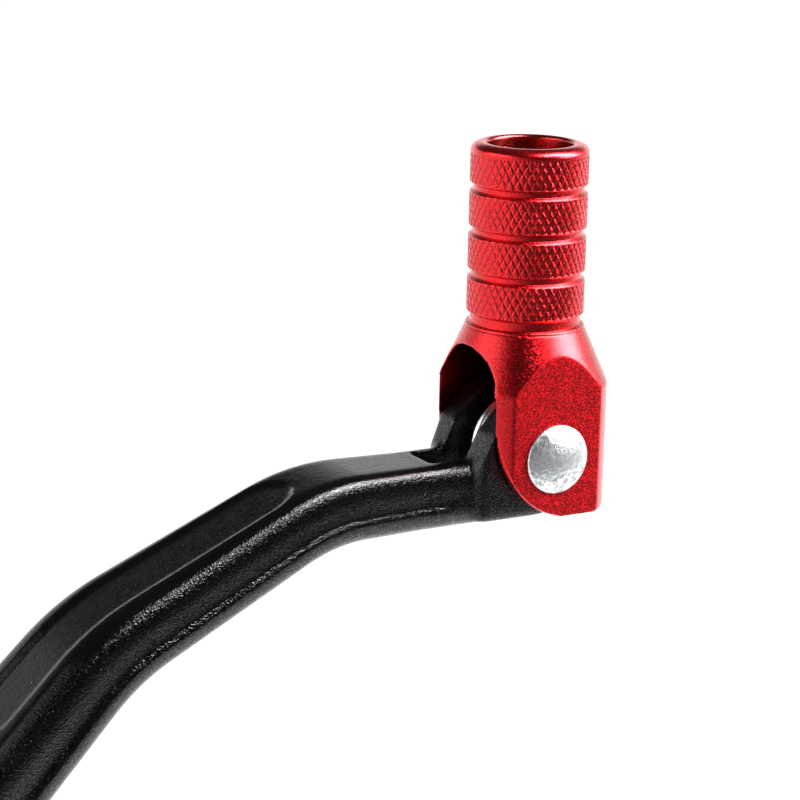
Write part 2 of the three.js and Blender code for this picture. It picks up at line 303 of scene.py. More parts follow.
def centre_line():
    """Points on the arm's centre line, the share of its length each is at, and that length."""
    knees = [np.array(k, float) for k in KNEES]
    pieces = [knees[0][None]]
    for before, knee, after in zip(knees, knees[1:], knees[2:]):
        start = knee + BEND * (before - knee) / np.linalg.norm(before - knee)
        end = knee + BEND * (after - knee) / np.linalg.norm(after - knee)
        pieces.append(bezier(start, knee, end, 24))
        pieces.append(end[None])
    pieces.append(knees[-1][None])
    points = np.concatenate(pieces)
    lengths = np.concatenate([[0], np.cumsum(np.linalg.norm(np.diff(points, axis=0), axis=1))])
    return points, lengths / lengths[-1], lengths[-1]


LINE_POINTS, LINE_SHARES, LINE_LENGTH = centre_line()


def on_line(t):
    """The centre line's point and direction at each share t."""
    def at(share):
        x = np.interp(share, LINE_SHARES, LINE_POINTS[:, 0])
        z = np.interp(share, LINE_SHARES, LINE_POINTS[:, 1])
        return np.stack([x, z], -1)
    step = 0.004
    ahead = at(np.clip(t + step, 0, 1)) - at(np.clip(t - step, 0, 1))
    return at(t), ahead / np.linalg.norm(ahead, axis=-1, keepdims=True)


def taper(t):
    """0 up to where the arm starts to taper and 1 from where it ends."""
    return np.clip((t - TAPER_START) / TAPER_LENGTH, 0, 1)


def half_width(t):
    """The arm's half width at each share t."""
    return HALF_WIDTHS[0] + (HALF_WIDTHS[1] - HALF_WIDTHS[0]) * taper(t)


def half_thickness(t):
    """The arm's half thickness at each share t."""
    return (THICKNESSES[0] + (THICKNESSES[1] - THICKNESSES[0]) * taper(t)) / 2


def along_arm(name, shares, across, up):
    """A skin along the centre line; across and up give each ring's points in millimetres."""
    centre, direction = on_line(shares)
    x = centre[:, :1] - direction[:, 1:] * up
    z = centre[:, 1:] + direction[:, :1] * up
    return tube(name, np.stack([x, across, z], -1))


def forged_half_section():
    """The right half of the arm's section, from the bottom's middle up to the top's.

    It is given in shares of the half width and the half thickness, and has a ledge low on its
    side, like the line that two forging dies leave.
    """
    parts = [
        np.array([[0.0, -1.0], [0.3, -1.0]]),
        bezier((0.52, -1.0), (0.9, -0.97), (0.975, -0.5), 14),
        bezier((0.975, -0.5), (1.0, -0.42), (0.99, -0.3), 5),
        bezier((0.99, -0.3), (0.97, -0.2), (0.95, -0.16), 6),
        bezier((0.95, -0.16), (0.945, 0.05), (0.955, 0.28), 6),
        bezier((0.955, 0.28), (0.94, 0.9), (0.66, 0.985), 16),
        bezier((0.66, 0.985), (0.6, 1.0), (0.5, 1.0), 4),
        np.array([[0.5, 1.0], [0.25, 1.0], [0.0, 1.0]]),
    ]
    return np.concatenate(parts)


def blade():
    """The arm between the boss and the eye."""
    right = forged_half_section()
    left = right[-2:0:-1] * (-1, 1)
    section = np.concatenate([right, left])
    shares = np.linspace(0, 1, 260)
    across = half_width(shares)[:, None] * section[:, 0]
    up = half_thickness(shares)[:, None] * section[:, 1]
    return along_arm("arm", shares, across, up)


def recess_cutter():
    """The shallow recess in the arm's top face, round at each end."""
    corner = RECESS_HALF_WIDTH - 0.1
    shares = np.linspace(*RECESS, 400)
    from_end = LINE_LENGTH * np.minimum(shares - RECESS[0], RECESS[1] - shares)
    short = 1 - np.clip(from_end / corner, 0, 1)
    half = RECESS_HALF_WIDTH - corner * (1 - np.sqrt(1 - short ** 2))
    base = half_thickness(shares) - RECESS_DEPTH
    across = half[:, None] * np.array([-1, 1, 1, -1])
    up = base[:, None] + 2 * RECESS_DEPTH * np.array([0, 0, 1, 1])
    return along_arm("recess", shares, across, up)


def eye_parts():
    """The eye's disc, the ramp down to the arm's top and the square heel, in the pivot frame."""
    face_radius = EYE_RADIUS - EYE_CHAMFER
    edge_y = EYE_HALF_WIDTH - EYE_CHAMFER
    disc = lathe("disc", [
        (0, -EYE_HALF_WIDTH), (face_radius, -EYE_HALF_WIDTH), (EYE_RADIUS, -edge_y),
        (EYE_RADIUS, edge_y), (face_radius, EYE_HALF_WIDTH), (0, EYE_HALF_WIDTH),
    ], 160, "Y")
    arm_top = KNEES[-1][1] - HINGE.z + THICKNESSES[1] / 2
    corner_x = RAMP_FOOT_X + (RAMP_TOP_Z - arm_top) / math.tan(math.radians(RAMP_SLOPE))
    tangent = math.atan2(RAMP_TOP_Z, corner_x)
    tangent -= math.acos(EYE_RADIUS / math.hypot(corner_x, RAMP_TOP_Z))
    ramp = [(0, -EYE_RADIUS)] + arc((0, 0), EYE_RADIUS, math.pi / 2, tangent, 40)
    ramp += [(corner_x, RAMP_TOP_Z), (RAMP_FOOT_X, arm_top), (RAMP_FOOT_X, -EYE_RADIUS)]
    corner = EYE_RADIUS - 1.5
    heel = [(0, -EYE_RADIUS), (corner, -EYE_RADIUS), (EYE_RADIUS, -corner), (EYE_RADIUS, 0), (0, 0)]
    return [
        disc,
        plate("ramp", ramp, -EYE_HALF_WIDTH, EYE_HALF_WIDTH),
        plate("heel", heel, -edge_y, edge_y),
    ]


def boss_parts():
    """The clamp boss and its lugs, in the bore frame."""
    chamfer = 1.0
    hub = lathe("hub", [
        (0, 0), (BOSS_RADIUS - chamfer, 0), (BOSS_RADIUS, chamfer),
        (BOSS_RADIUS, BOSS_HEIGHT - chamfer), (BOSS_RADIUS - chamfer, BOSS_HEIGHT),
        (0, BOSS_HEIGHT),
    ], 160)
    middle = BOSS_HEIGHT / 2
    end = arc((-BOLT_TO_BORE, middle), LUG_RADIUS, math.pi / 2, 1.5 * math.pi, 48)
    outline = [(0, middle - LUG_RADIUS), (0, middle + LUG_RADIUS)] + end
    return [hub, plate("lugs", outline, -LUG_HALF_WIDTH, LUG_HALF_WIDTH)]


def spline_cutter():
    """The splined bore with a lead-in chamfer at each end."""
    teeth, root, tip, lead = 28, 6.5, 5.9, 0.7
    steps = np.arange(teeth * 4)
    angles = steps * 2 * math.pi / len(steps)
    radii = np.where(steps % 4 < 2, root, tip)
    wide = np.full(len(steps), root + lead)
    levels = [(-1, wide), (0, wide), (lead, radii), (BOSS_HEIGHT - lead, radii)]
    levels += [(BOSS_HEIGHT, wide), (BOSS_HEIGHT + 1, wide)]
    rings = [
        np.stack([r * np.cos(angles), r * np.sin(angles), np.full(len(r), z)], -1)
        for z, r in levels
    ]
    return tube("spline", rings)


def leg_hole(name, start, end):
    """A round hole for a spring leg, between two points of the pivot frame."""
    radius = WIRE + 0.3
    along = Vector(end) - Vector(start)
    hole = lathe(name, [(0, 0), (radius, 0), (radius, along.length), (0, along.length)], 32)
    turn = along.to_track_quat("Z", "Y").to_matrix().to_4x4()
    hole.data.transform(Matrix.Translation(start) @ turn)
    return hole


def make_arm():
    """The whole forging, as one skin."""
    arm = blade()
    combine(arm, recess_cutter(), "DIFFERENCE")
    to_pivot = Matrix.Translation(HINGE)
    for part in eye_parts():
        part.data.transform(to_pivot)
        combine(arm, part, "UNION")
    for part in boss_parts():
        combine(arm, part, "UNION")
    x, z = ARM_LEG_END
    cuts = [
        box("ear_slot", (EAR_SLOT_END, EAR_SLOT_Y[0], -20), (20, EAR_SLOT_Y[1], 20)),
        rod_y("eye_bore", EYE_BORE_RADIUS, 12),
        leg_hole("arm_leg", (x - 3, SPRING_NEAR_Y, z), (x + 4, SPRING_NEAR_Y, z)),
    ]
    for cut in cuts:
        cut.data.transform(to_pivot)
        combine(arm, cut, "DIFFERENCE")
    bolt_hole = rod_y("bolt_hole", BOLT_HOLE_RADIUS, 12, -BOLT_TO_BORE, BOSS_HEIGHT / 2)
    slit = box("slit", (-30, -SLIT_HALF_WIDTH, -1), (0, SLIT_HALF_WIDTH, BOSS_HEIGHT + 1))
    for cut in (spline_cutter(), slit, bolt_hole):
        combine(arm, cut, "DIFFERENCE")
    remesh(arm, ARM_VOXEL)
    relax(arm, 3)
    relax(arm, 40, fillet_weight)
    rise = arm.data.attributes.new("rise", "FLOAT", "POINT")
    rise.data.foreach_set("value", blade_rise(coordinates(arm)))
    return arm


def blade_rise(points):
    """How high each point is in the blade's section: 1 on top, -1 underneath, 0.5 elsewhere."""
    side_on = points[:, ::2]
    shares = np.linspace(0, 1, 300)
    centre, direction = on_line(shares)
    nearest = np.concatenate([
        np.argmin(((part[:, None] - centre) ** 2).sum(-1), axis=1)
        for part in np.array_split(side_on, 40)
    ])
    offset = side_on - centre[nearest]
    along = direction[nearest]
    up = offset[:, 1] * along[:, 0] - offset[:, 0] * along[:, 1]
    rise = up / half_thickness(shares[nearest])
    on_blade = np.clip((HINGE.x - 13 - points[:, 0]) / 4, 0, 1)
    on_blade *= np.clip((points[:, 0] - BOSS_RADIUS) / 4, 0, 1)
    return 0.5 + (rise - 0.5) * on_blade


def fillet_weight(points):
    """1 where the forging has a wide fillet: at the eye's flare, its foot and its lower edges.

    The distances are in millimetres from the pivot.
    """
    x, y, z = points[:, 0] - HINGE.x, np.abs(points[:, 1]), points[:, 2] - HINGE.z
    flare = np.clip(1 - np.abs(x + 12.0) / 2.4, 0, 1) * np.clip((y - 5.8) / 1.2, 0, 1)
    foot = np.clip(1.3 - np.hypot(x + 12.0, z + 0.4) / 1.2, 0, 1) * (y > 3.4)
    lower = np.clip((-4.5 - z) / 2, 0, 1) * np.clip((y - 4.6) / 1.5, 0, 1)
    lower *= np.clip((x + 17) / 3, 0, 1)
    return np.clip(1.4 * flare + lower + foot, 0, 1)


# ---------------------------------------------------------------- the toe peg

def grip_profile():
    """The grip's outside as (radius, height, knurled) rows, from its neck to its rim."""
    floor = GRIP_RADIUS - GROOVE_DEPTH
    ease = 0.3
    neck = [(0.0, -0.7), (0.15, -0.35), (0.11, -0.17), (0.05, -0.03), (-0.04, 0.03),
            (-0.4, 0.09), (-0.52, 0.16), (-GROOVE_DEPTH, 0.3)]
    rows = [(GRIP_RADIUS + r, CONE_TOP_Z + z, 0) for r, z in neck]
    rows.append((floor, FIRST_BAND_Z - 0.45, 0))
    for i in range(BANDS):
        low = FIRST_BAND_Z + i * BAND_PITCH
        last = i == BANDS - 1
        high = PEG_TOP - RIM[1] if last else low + BAND_LENGTH
        rows += [(floor, low - 0.16, 0), (floor + 0.1, low - 0.04, 0)]
        rows += [(GRIP_RADIUS - 0.08, low + ease * 0.6, 0), (GRIP_RADIUS, low + ease, 0)]
        steps = round((high - low - 2 * ease) / 0.18)
        for z in np.linspace(low + ease, high - ease, steps + 1)[1:-1]:
            rows.append((GRIP_RADIUS, z, 1))
        rows.append((GRIP_RADIUS, high - ease, 0))
        if not last:
            rows += [(GRIP_RADIUS - 0.08, high - ease * 0.6, 0), (floor + 0.1, high + 0.04, 0)]
            rows.append((floor, high + 0.16, 0))
    for x, z in arc((-1, -1), 1, 0, math.pi / 2, 12):
        rows.append((GRIP_RADIUS + x * RIM[0], PEG_TOP + z * RIM[1], 0))
    inner = 0.5
    for r, z in arc((PEG_BORE_RADIUS + inner, PEG_TOP - inner), inner, math.pi / 2, math.pi, 6):
        rows.append((r, z - 0.02, 0))
    rows += [(PEG_BORE_RADIUS, z, 0) for z in np.linspace(PEG_TOP - 1.5, PEG_BORE_FLOOR + 1.5, 14)]
    return rows


def knurl(angle, z):
    """How deep the diamond knurl is cut at each angle and height, from 0 to 1."""
    around = KNURL_LINES * angle / (2 * math.pi)
    cut = 0.0
    for lead in (1, -1):
        phase = np.mod(around + lead * z / KNURL_RISE, 1)
        from_land = np.abs(phase - 0.5) * 2
        cut = np.maximum(cut, np.clip((from_land - KNURL_LAND) / KNURL_WALL, 0, 1))
    return cut


def make_grip():
    """The knurled tube with its open bore, closed at the neck."""
    segments = KNURL_LINES * 12
    angles = np.arange(segments) * 2 * math.pi / segments
    rings, depths = [], []
    for radius, z, knurled in grip_profile():
        depths.append(knurled * knurl(angles, z))
        r = radius - KNURL_DEPTH * depths[-1]
        rings.append(np.stack([r * np.cos(angles), r * np.sin(angles), np.full(segments, z)], -1))
    grip = tube("toe_peg_grip", rings)
    # The cut depth is kept on the points, and the red material paints shade into the grooves by it.
    groove = grip.data.attributes.new("groove", "FLOAT", "POINT")
    groove.data.foreach_set("value", np.concatenate(depths))
    return grip


def make_fork():
    """The cone and the slotted fork below it, with its milled flats."""
    chamfer = 0.3
    under_grip = 0.2  # the cone stops just below its top, inside the grip's neck
    slope = (FORK_RADIUS - GRIP_RADIUS) / (CONE_TOP_Z - SHOULDER_Z)
    fork = lathe("toe_peg_fork", [
        (0, PEG_BOTTOM), (FORK_RADIUS - chamfer, PEG_BOTTOM), (FORK_RADIUS, PEG_BOTTOM + chamfer),
        (FORK_RADIUS, SHOULDER_Z), (GRIP_RADIUS + under_grip * slope, CONE_TOP_Z - under_grip),
        (0, CONE_TOP_Z - under_grip),
    ], 256)
    for side in (-1, 1):
        low, high = sorted((side * FLAT_Y, side * 20))
        combine(fork, box("flat", (-20, low, -20), (20, high, FLAT_TOP_Z)), "DIFFERENCE")
    combine(fork, slot_cutter(), "DIFFERENCE")
    corner = [(CORNER_CENTRE, -30), (-30, -30), (-30, CORNER_CENTRE)]
    corner += arc((CORNER_CENTRE, CORNER_CENTRE), CORNER_RADIUS, math.pi, 1.5 * math.pi, 48)
    combine(fork, plate("corner", corner[::-1], -20, 20), "DIFFERENCE")
    combine(fork, rod_y("rivet_hole", RIVET_HOLE_RADIUS, 14), "DIFFERENCE")
    leg = (COIL, SPRING_FAR_Y)
    combine(fork, leg_hole("peg_leg", (*leg, 13), (*leg, 20)), "DIFFERENCE")
    remesh(fork, FORK_VOXEL)
    relax(fork, 3)
    return fork


def slot_cutter():
    """The arched slot, milled from the arm's side to a back wall with eased corners."""
    ease = 1.2
    def section(x, inset):
        half = SLOT_HALF - inset
        outline = [(-half, -20.0), (half, -20.0)] + arc((0, ARCH_Z), half, 0, math.pi, 64)
        return [(x, y, z) for y, z in outline]
    rings = [section(-20, 0), section(BACK_WALL_X - ease, 0)]
    for a in np.linspace(0, math.pi / 2, 7)[1:]:
        rings.append(section(BACK_WALL_X - ease + ease * math.sin(a), ease * (1 - math.cos(a))))
    return tube("slot", rings)


# ---------------------------------------------------------------- the hinge

def make_rivet():
    """The rivet: a domed head with a rim, a shank, and a tail peened over the washer."""
    low, high = (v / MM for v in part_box("pivot_rivet"))
    edge = 0.08
    head_y = low.y + RIVET_RIM + RIVET_DOME
    ball = (RIVET_HEAD_RADIUS ** 2 + RIVET_DOME ** 2) / (2 * RIVET_DOME)
    profile = [(ball * math.sin(a), low.y + ball - ball * math.cos(a))
               for a in np.linspace(0, math.asin((RIVET_HEAD_RADIUS - edge) / ball), 24)]
    profile += [(RIVET_HEAD_RADIUS, low.y + RIVET_DOME + edge), (RIVET_HEAD_RADIUS, head_y)]
    tail_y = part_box("rivet_washer")[1].y / MM + 0.05
    profile += [(RIVET_SHANK_RADIUS, head_y), (RIVET_SHANK_RADIUS, tail_y)]
    dome_y = tail_y + 0.25
    profile += [(RIVET_TAIL_RADIUS - 0.2, tail_y), (RIVET_TAIL_RADIUS, dome_y)]
    profile += [(RIVET_TAIL_RADIUS * math.cos(a), dome_y + (high.y - dome_y) * math.sin(a))
                for a in np.linspace(0, math.pi / 2, 16)[1:]]
    return lathe("rivet", profile, 128, "Y")


def ring_y(name, node, radii, ease):
    """A turned ring about Y with eased edges, as long as its CAD node; radii is outer, inner."""
    outer, inner = radii
    y0, y1 = (v.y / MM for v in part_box(node))
    section = [(inner, y0 + ease), (inner + ease, y0), (outer - ease, y0), (outer, y0 + ease),
               (outer, y1 - ease), (outer - ease, y1), (inner + ease, y1), (inner, y1 - ease)]
    angles = np.arange(128) * 2 * math.pi / 128
    rings = [[(r * math.sin(a), y, r * math.cos(a)) for r, y in section] for a in angles]
    return tube(name, rings, closed=True)


def spring_line():
    """The wire's centre line: a leg from the arm, the coils about Y, and a leg into the peg."""
    x, z = ARM_LEG_END
    start = math.atan2(z, x) + 2 * math.pi + math.acos(COIL / math.hypot(x, z))
    end = 2 * math.pi * (SPRING_TURNS + 1)
    angles = np.linspace(start, end, 300)
    y = np.linspace(SPRING_NEAR_Y, SPRING_FAR_Y, 300)
    coils = np.stack([COIL * np.cos(angles), y, COIL * np.sin(angles)], -1)
    share = np.linspace(0, 1, 30, endpoint=False)[:, None]
    first = (1 - share) * np.array([x, SPRING_NEAR_Y, z]) + share * coils[0]
    rise = np.linspace(0, PEG_LEG_TOP, 30)[1:]
    last = np.stack([np.full(29, COIL), np.full(29, SPRING_FAR_Y), rise], -1)
    return np.concatenate([first, coils, last])


def make_spring():
    """The round wire along spring_line()."""
    line = spring_line()
    along = np.gradient(line, axis=0)
    along /= np.linalg.norm(along, axis=1, keepdims=True)
    side = np.cross(along, (0, 1.0, 0))
    side /= np.linalg.norm(side, axis=1, keepdims=True)
    up = np.cross(side, along)
    angles = np.arange(20) * 2 * math.pi / 20
    ring = np.cos(angles)[None, :, None] * side[:, None] + np.sin(angles)[None, :, None] * up[:, None]
    return tube("spring", line[:, None] + WIRE * ring)


# ---------------------------------------------------------------- the pinch bolt

def make_bolt():
    """The M6 bolt: a chamfered hexagon head and a threaded shank along +Y."""
    length = (BOLT_HIGH.y - BOLT_LOW.y) / MM
    segments = 192
    angles = np.arange(segments) * 2 * math.pi / segments
    off = np.mod(angles + math.pi / 6, math.pi / 3) - math.pi / 6
    hexagon = HEAD_APOTHEM / np.cos(off)
    def ring(radius, y):
        radius = np.broadcast_to(radius, angles.shape)
        return np.stack([radius * np.sin(angles), np.full(segments, y), radius * np.cos(angles)], -1)
    face, chamfer = 4.7, 1.73  # the radius of the head's face, and how steeply its edge widens
    rings = [ring(0.05, 0), ring(face - 0.7, 0), ring(face, 0.02)]
    for y in np.linspace(0.1, 0.7, 7):
        rings.append(ring(np.minimum(hexagon, face + chamfer * y), y))
    rings.append(ring(hexagon, HEAD_HEIGHT - 0.3))
    rings.append(ring(np.minimum(hexagon, 5.3), HEAD_HEIGHT - 0.02))
    rings += [ring(4.6, HEAD_HEIGHT), ring(3.0, HEAD_HEIGHT)]
    for y in np.arange(HEAD_HEIGHT + 0.1, length, 0.125):
        phase = np.mod(y - angles / (2 * math.pi), 1)
        depth = THREAD_DEPTH * np.abs(2 * phase - 1)
        ease = np.clip((length - y) / 0.6, 0.5, 1)
        rings.append(ring((THREAD_RADIUS - depth) * ease, y))
    rings.append(ring(0.05, length))
    return tube("bolt", rings)


# ---------------------------------------------------------------- materials

class Nodes:
    """Short calls for building the node tree of a material or a world.

    where names the texture coordinate that its noise is read at.
    """

    def __init__(self, owner, where="Object"):
        owner.use_nodes = True
        self.owner = owner
        self.tree = owner.node_tree
        self.shader = self.tree.nodes.get("Principled BSDF")
        self.where = self.tree.nodes.new("ShaderNodeTexCoord").outputs[where]

    def add(self, kind, **settings):
        """A new node with its settings."""
        node = self.tree.nodes.new(kind)
        for key, value in settings.items():
            setattr(node, key, value)
        return node

    def link(self, output, socket):
        """Joins a node's output to an input socket."""
        self.tree.links.new(output, socket)

    def place_in_space(self):
        """The X, Y and Z of where the surface is, or of the direction in a world."""
        parts = self.add("ShaderNodeSeparateXYZ")
        self.link(self.where, parts.inputs[0])
        return parts.outputs["X"], parts.outputs["Y"], parts.outputs["Z"]

    def set(self, **values):
        """Sets the shader's inputs; an underscore in a name stands for a space."""
        for key, value in values.items():
            self.shader.inputs[key.replace("_", " ")].default_value = value

    def noise(self, size_mm, detail=3.0, roughness=0.55):
        """Noise whose features are about size_mm across."""
        node = self.add("ShaderNodeTexNoise")
        node.inputs["Scale"].default_value = 1 / (size_mm * MM)
        node.inputs["Detail"].default_value = detail
        node.inputs["Roughness"].default_value = roughness
        self.link(self.where, node.inputs["Vector"])
        return node.outputs["Fac"]

    def cells(self, size_mm):
        """The distance to the nearest of scattered points about size_mm apart."""
        node = self.add("ShaderNodeTexVoronoi")
        node.inputs["Scale"].default_value = 1 / (size_mm * MM)
        self.link(self.where, node.inputs["Vector"])
        return node.outputs["Distance"]

    def remap(self, value, low, high, to_low, to_high):
        """A value moved from low..high to to_low..to_high, and held at the ends."""
        node = self.add("ShaderNodeMapRange")
        for key, number in zip(("From Min", "From Max", "To Min", "To Max"),
                               (low, high, to_low, to_high)):
            node.inputs[key].default_value = number
        self.link(value, node.inputs["Value"])
        return node.outputs["Result"]

    def maths(self, operation, a, b):
        """One arithmetic step on two sockets or numbers."""
        node = self.add("ShaderNodeMath", operation=operation)
        for socket, value in zip(node.inputs, (a, b)):
            if isinstance(value, (int, float)):
                socket.default_value = value
            else:
                self.link(value, socket)
        return node.outputs[0]

    def mix(self, factor, a, b):
        """A colour between a and b."""
        node = self.add("ShaderNodeMix", data_type="RGBA")
        self.link(factor, node.inputs["Factor"])
        for key, value in (("A", a), ("B", b)):
            socket = next(s for s in node.inputs if s.name == key and s.type == "RGBA")
            if isinstance(value, tuple):
                socket.default_value = (*value, 1)
            else:
                self.link(value, socket)
        return next(s for s in node.outputs if s.type == "RGBA")

    def ramp(self, value, stops):
        """A grey level read off (position, level) stops."""
        node = self.add("ShaderNodeValToRGB")
        elements = node.color_ramp.elements
        while len(elements) < len(stops):
            elements.new(0.5)
        for element, (position, level) in zip(elements, stops):
            element.position = position
            element.color = (level, level, level, 1)
        self.link(value, node.inputs["Fac"])
        return node.outputs["Color"]

    def attribute(self, name):
        """A number kept on the mesh's points, 0 where there is none."""
        return self.add("ShaderNodeAttribute", attribute_name=name).outputs["Fac"]

    def bump(self, height, depth_mm, after=None, strength=None):
        """A normal tilted by a height of up to depth_mm, on top of another bump's normal."""
        node = self.add("ShaderNodeBump")
        if strength is not None:
            self.link(strength, node.inputs["Strength"])
        node.inputs["Distance"].default_value = depth_mm * MM
        self.link(height, node.inputs["Height"])
        if after is not None:
            self.link(after, node.inputs["Normal"])
        return node.outputs["Normal"]

    def normal(self, output):
        """Gives the shader its normal."""
        self.link(output, self.shader.inputs["Normal"])


def black_coating():
    """A satin black coat over a blasted forging, with a few specks of dust.

    The grain tilts the surface and glints, less on the arm's smoother top, and the ledge along
    its side is deepened a little.
    """
    n = Nodes(bpy.data.materials.new("black_coating"))
    cloud = n.noise(9.0, 4)
    base = n.mix(cloud, (0.0006, 0.0006, 0.001), (0.0014, 0.0014, 0.002))
    near = n.remap(n.cells(3.2), 0.0, 0.035, 1, 0)
    chosen = n.remap(n.noise(6.0, 0), 0.56, 0.6, 0, 1)
    dust = n.maths("MULTIPLY", near, chosen)
    n.link(n.mix(dust, base, (0.4, 0.4, 0.4)), n.shader.inputs["Base Color"])
    n.link(n.remap(n.noise(1.2, 3), 0.3, 0.7, 0.14, 0.2), n.shader.inputs["Roughness"])
    rise = n.attribute("rise")
    ledge = n.bump(n.remap(rise, -0.36, -0.17, 1, 0), 0.2)
    peel = n.bump(n.noise(1.1, 2, 0.5), 0.02, ledge)
    grain = n.noise(0.25, 1, 0.5)
    share = n.remap(rise, 0.75, 0.95, 1, 0.26)
    n.normal(n.bump(grain, 0.105, peel, share))
    shine = n.maths("MULTIPLY", n.remap(grain, 0.47, 0.66, -0.07, 0.45), share)
    n.link(n.maths("ADD", shine, 0.3), n.shader.inputs["Specular IOR Level"])
    return n.owner


def red_anodising(name, darkest, grain_depth):
    """Red dyed anodising: a red metal under a clear skin, over a blasted grain.

    The rim at the top is smoother, the milled flats are rougher and more speckled, and shade is
    painted into the bore and the knurl's grooves as a darker red.
    """
    n = Nodes(bpy.data.materials.new(name))
    n.set(Metallic=1.0, Coat_Weight=0.35, Coat_Roughness=0.22, Coat_IOR=1.6)
    x, y, z = n.place_in_space()
    across = n.maths("POWER", n.maths("SUBTRACT", x, PIVOT.x), 2)
    radius = n.maths("SQRT", n.maths("ADD", across, n.maths("POWER", y, 2)), 0)
    top = PIVOT.z + PEG_TOP * MM
    upper = n.remap(z, top - 1.6 * MM, top - 0.8 * MM, 0, 1)
    from_middle = n.maths("ABSOLUTE", y, 0)
    flat = n.remap(from_middle, (FLAT_Y - 0.08) * MM, (FLAT_Y - 0.03) * MM, 0, 1)
    speck = n.remap(n.noise(0.22, 1, 0.5), 0.46, 0.66, 0, 1)
    speck = n.maths("MAXIMUM", speck, n.maths("SUBTRACT", 0.4, flat))
    base = n.mix(n.maths("MAXIMUM", speck, upper), (darkest, 0.001, 0.002), (0.88, 0.006, 0.013))
    # Painted shade: the bore's wall above the fork is mixed towards a darker red, as if shaded
    # inside.
    inner = (PEG_BORE_RADIUS + 0.15) * MM
    bore_shade_mask = n.remap(radius, inner, inner + 0.3 * MM, 1, 0)
    above_fork = n.remap(z, PIVOT.z + 20 * MM, PIVOT.z + 21 * MM, 0, 1)
    base = n.mix(n.maths("MULTIPLY", bore_shade_mask, above_fork), base, (0.36, 0.012, 0.012))
    # Painted shade: the deeper the knurl is cut at a point, the darker its red, as shade in the
    # grooves.
    base = n.mix(n.maths("MULTIPLY", n.attribute("groove"), 0.5), base, (0.16, 0.001, 0.002))
    n.link(base, n.shader.inputs["Base Color"])
    satin = n.remap(n.noise(2.5, 3), 0.3, 0.7, 0.19, 0.25)
    n.link(n.maths("ADD", satin, n.maths("MULTIPLY", flat, 0.2)), n.shader.inputs["Roughness"])
    grain = n.noise(0.19, 1, 0.5)
    grain_share = n.remap(upper, 0, 1, 1, 0.5)
    n.normal(n.bump(grain, grain_depth, None, grain_share))
    n.link(n.bump(grain, 0.6 * grain_depth, None, grain_share), n.shader.inputs["Coat Normal"])
    return n.owner


def bright_steel(name, tint, roughness, blotches):
    """Bare steel with fine scuffs, and duller blotches where it was pressed."""
    n = Nodes(bpy.data.materials.new(name))
    n.set(Metallic=1.0)
    patch = n.remap(n.noise(0.9, 5, 0.8), 0.46, 0.58, 0, 1)
    dull = tuple(c * (1 - 0.6 * blotches) for c in tint)
    n.link(n.mix(patch, tint, dull), n.shader.inputs["Base Color"])
    n.link(n.remap(patch, 0, 1, roughness, roughness + 0.2 * blotches),
           n.shader.inputs["Roughness"])
    dents = n.bump(n.noise(0.7, 3, 0.6), 0.1 * blotches)
    n.normal(n.bump(n.noise(0.25, 2), 0.02, dents))
    return n.owner


# ---------------------------------------------------------------- build

arm = make_arm()
place(arm, BORE, "lever", ["lever_arm"], black_coating())

place(make_fork(), PIVOT, "peg", ["toe_peg"], red_anodising("red_blasted", 0.2, 0.06))
place(make_grip(), PIVOT, "peg", ["toe_peg"], red_anodising("red_knurled", 0.3, 0.06),
      35)

rivet_steel = bright_steel("rivet_steel", (0.84, 0.86, 0.89), 0.25, 1.0)
place(make_rivet(), Vector((PIVOT.x, 0, PIVOT.z)), "peg", ["pivot_rivet"],
      rivet_steel, 40)
place(ring_y("rivet_back_washer", "rivet_washer", RIVET_WASHER_RADII, 0.12), PIVOT, "peg",
      ["rivet_washer"], rivet_steel, 40)
place(ring_y("sleeve", "pivot_sleeve", SLEEVE_RADII, 0.2), PIVOT, "peg", ["pivot_sleeve"],
      bright_steel("sleeve_steel", (0.6, 0.6, 0.62), 0.3, 0.3), 40)

spring = place(make_spring(), PIVOT, None, ["torsion_spring"],
               bright_steel("spring_wire", (0.75, 0.76, 0.78), 0.16, 0.2), 50)
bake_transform(spring)

bolt_steel = bright_steel("bolt_steel", (0.5, 0.5, 0.48), 0.26, 0.4)
bolt_axis = Vector((BORE.x - BOLT_TO_BORE * MM, 0, BOSS_HEIGHT / 2 * MM))
place(make_bolt(), Vector((bolt_axis.x, BOLT_LOW.y, bolt_axis.z)), "lever", ["pinch_bolt"],
      bolt_steel, 30)
place(ring_y("bolt_washer", "pinch_washer", BOLT_WASHER_RADII, 0.15), bolt_axis, "lever",
      ["pinch_washer"], bolt_steel, 40)


# ---------------------------------------------------------------- studio

def room_level(n, x, y):
    """How bright the studio's lower part looks in a shiny surface, by compass heading.

    It is bright to the left and behind, and darkest a little to the right of the camera.
    """
    heading = n.maths("ARCTAN2", y, x)
    degrees_and_levels = [
        (-180, 1.05), (-165, 0.95), (-150, 0.75), (-137, 0.45), (-125, 0.2), (-112, 0.05),
        (-60, 0.05), (-42, 0.15), (-22, 0.45), (0, 0.85), (30, 1.2), (150, 1.2), (180, 1.05),
    ]
    stops = [((degrees + 180) / 360, level) for degrees, level in degrees_and_levels]
    return n.ramp(n.remap(heading, -math.pi, math.pi, 0, 1), stops)


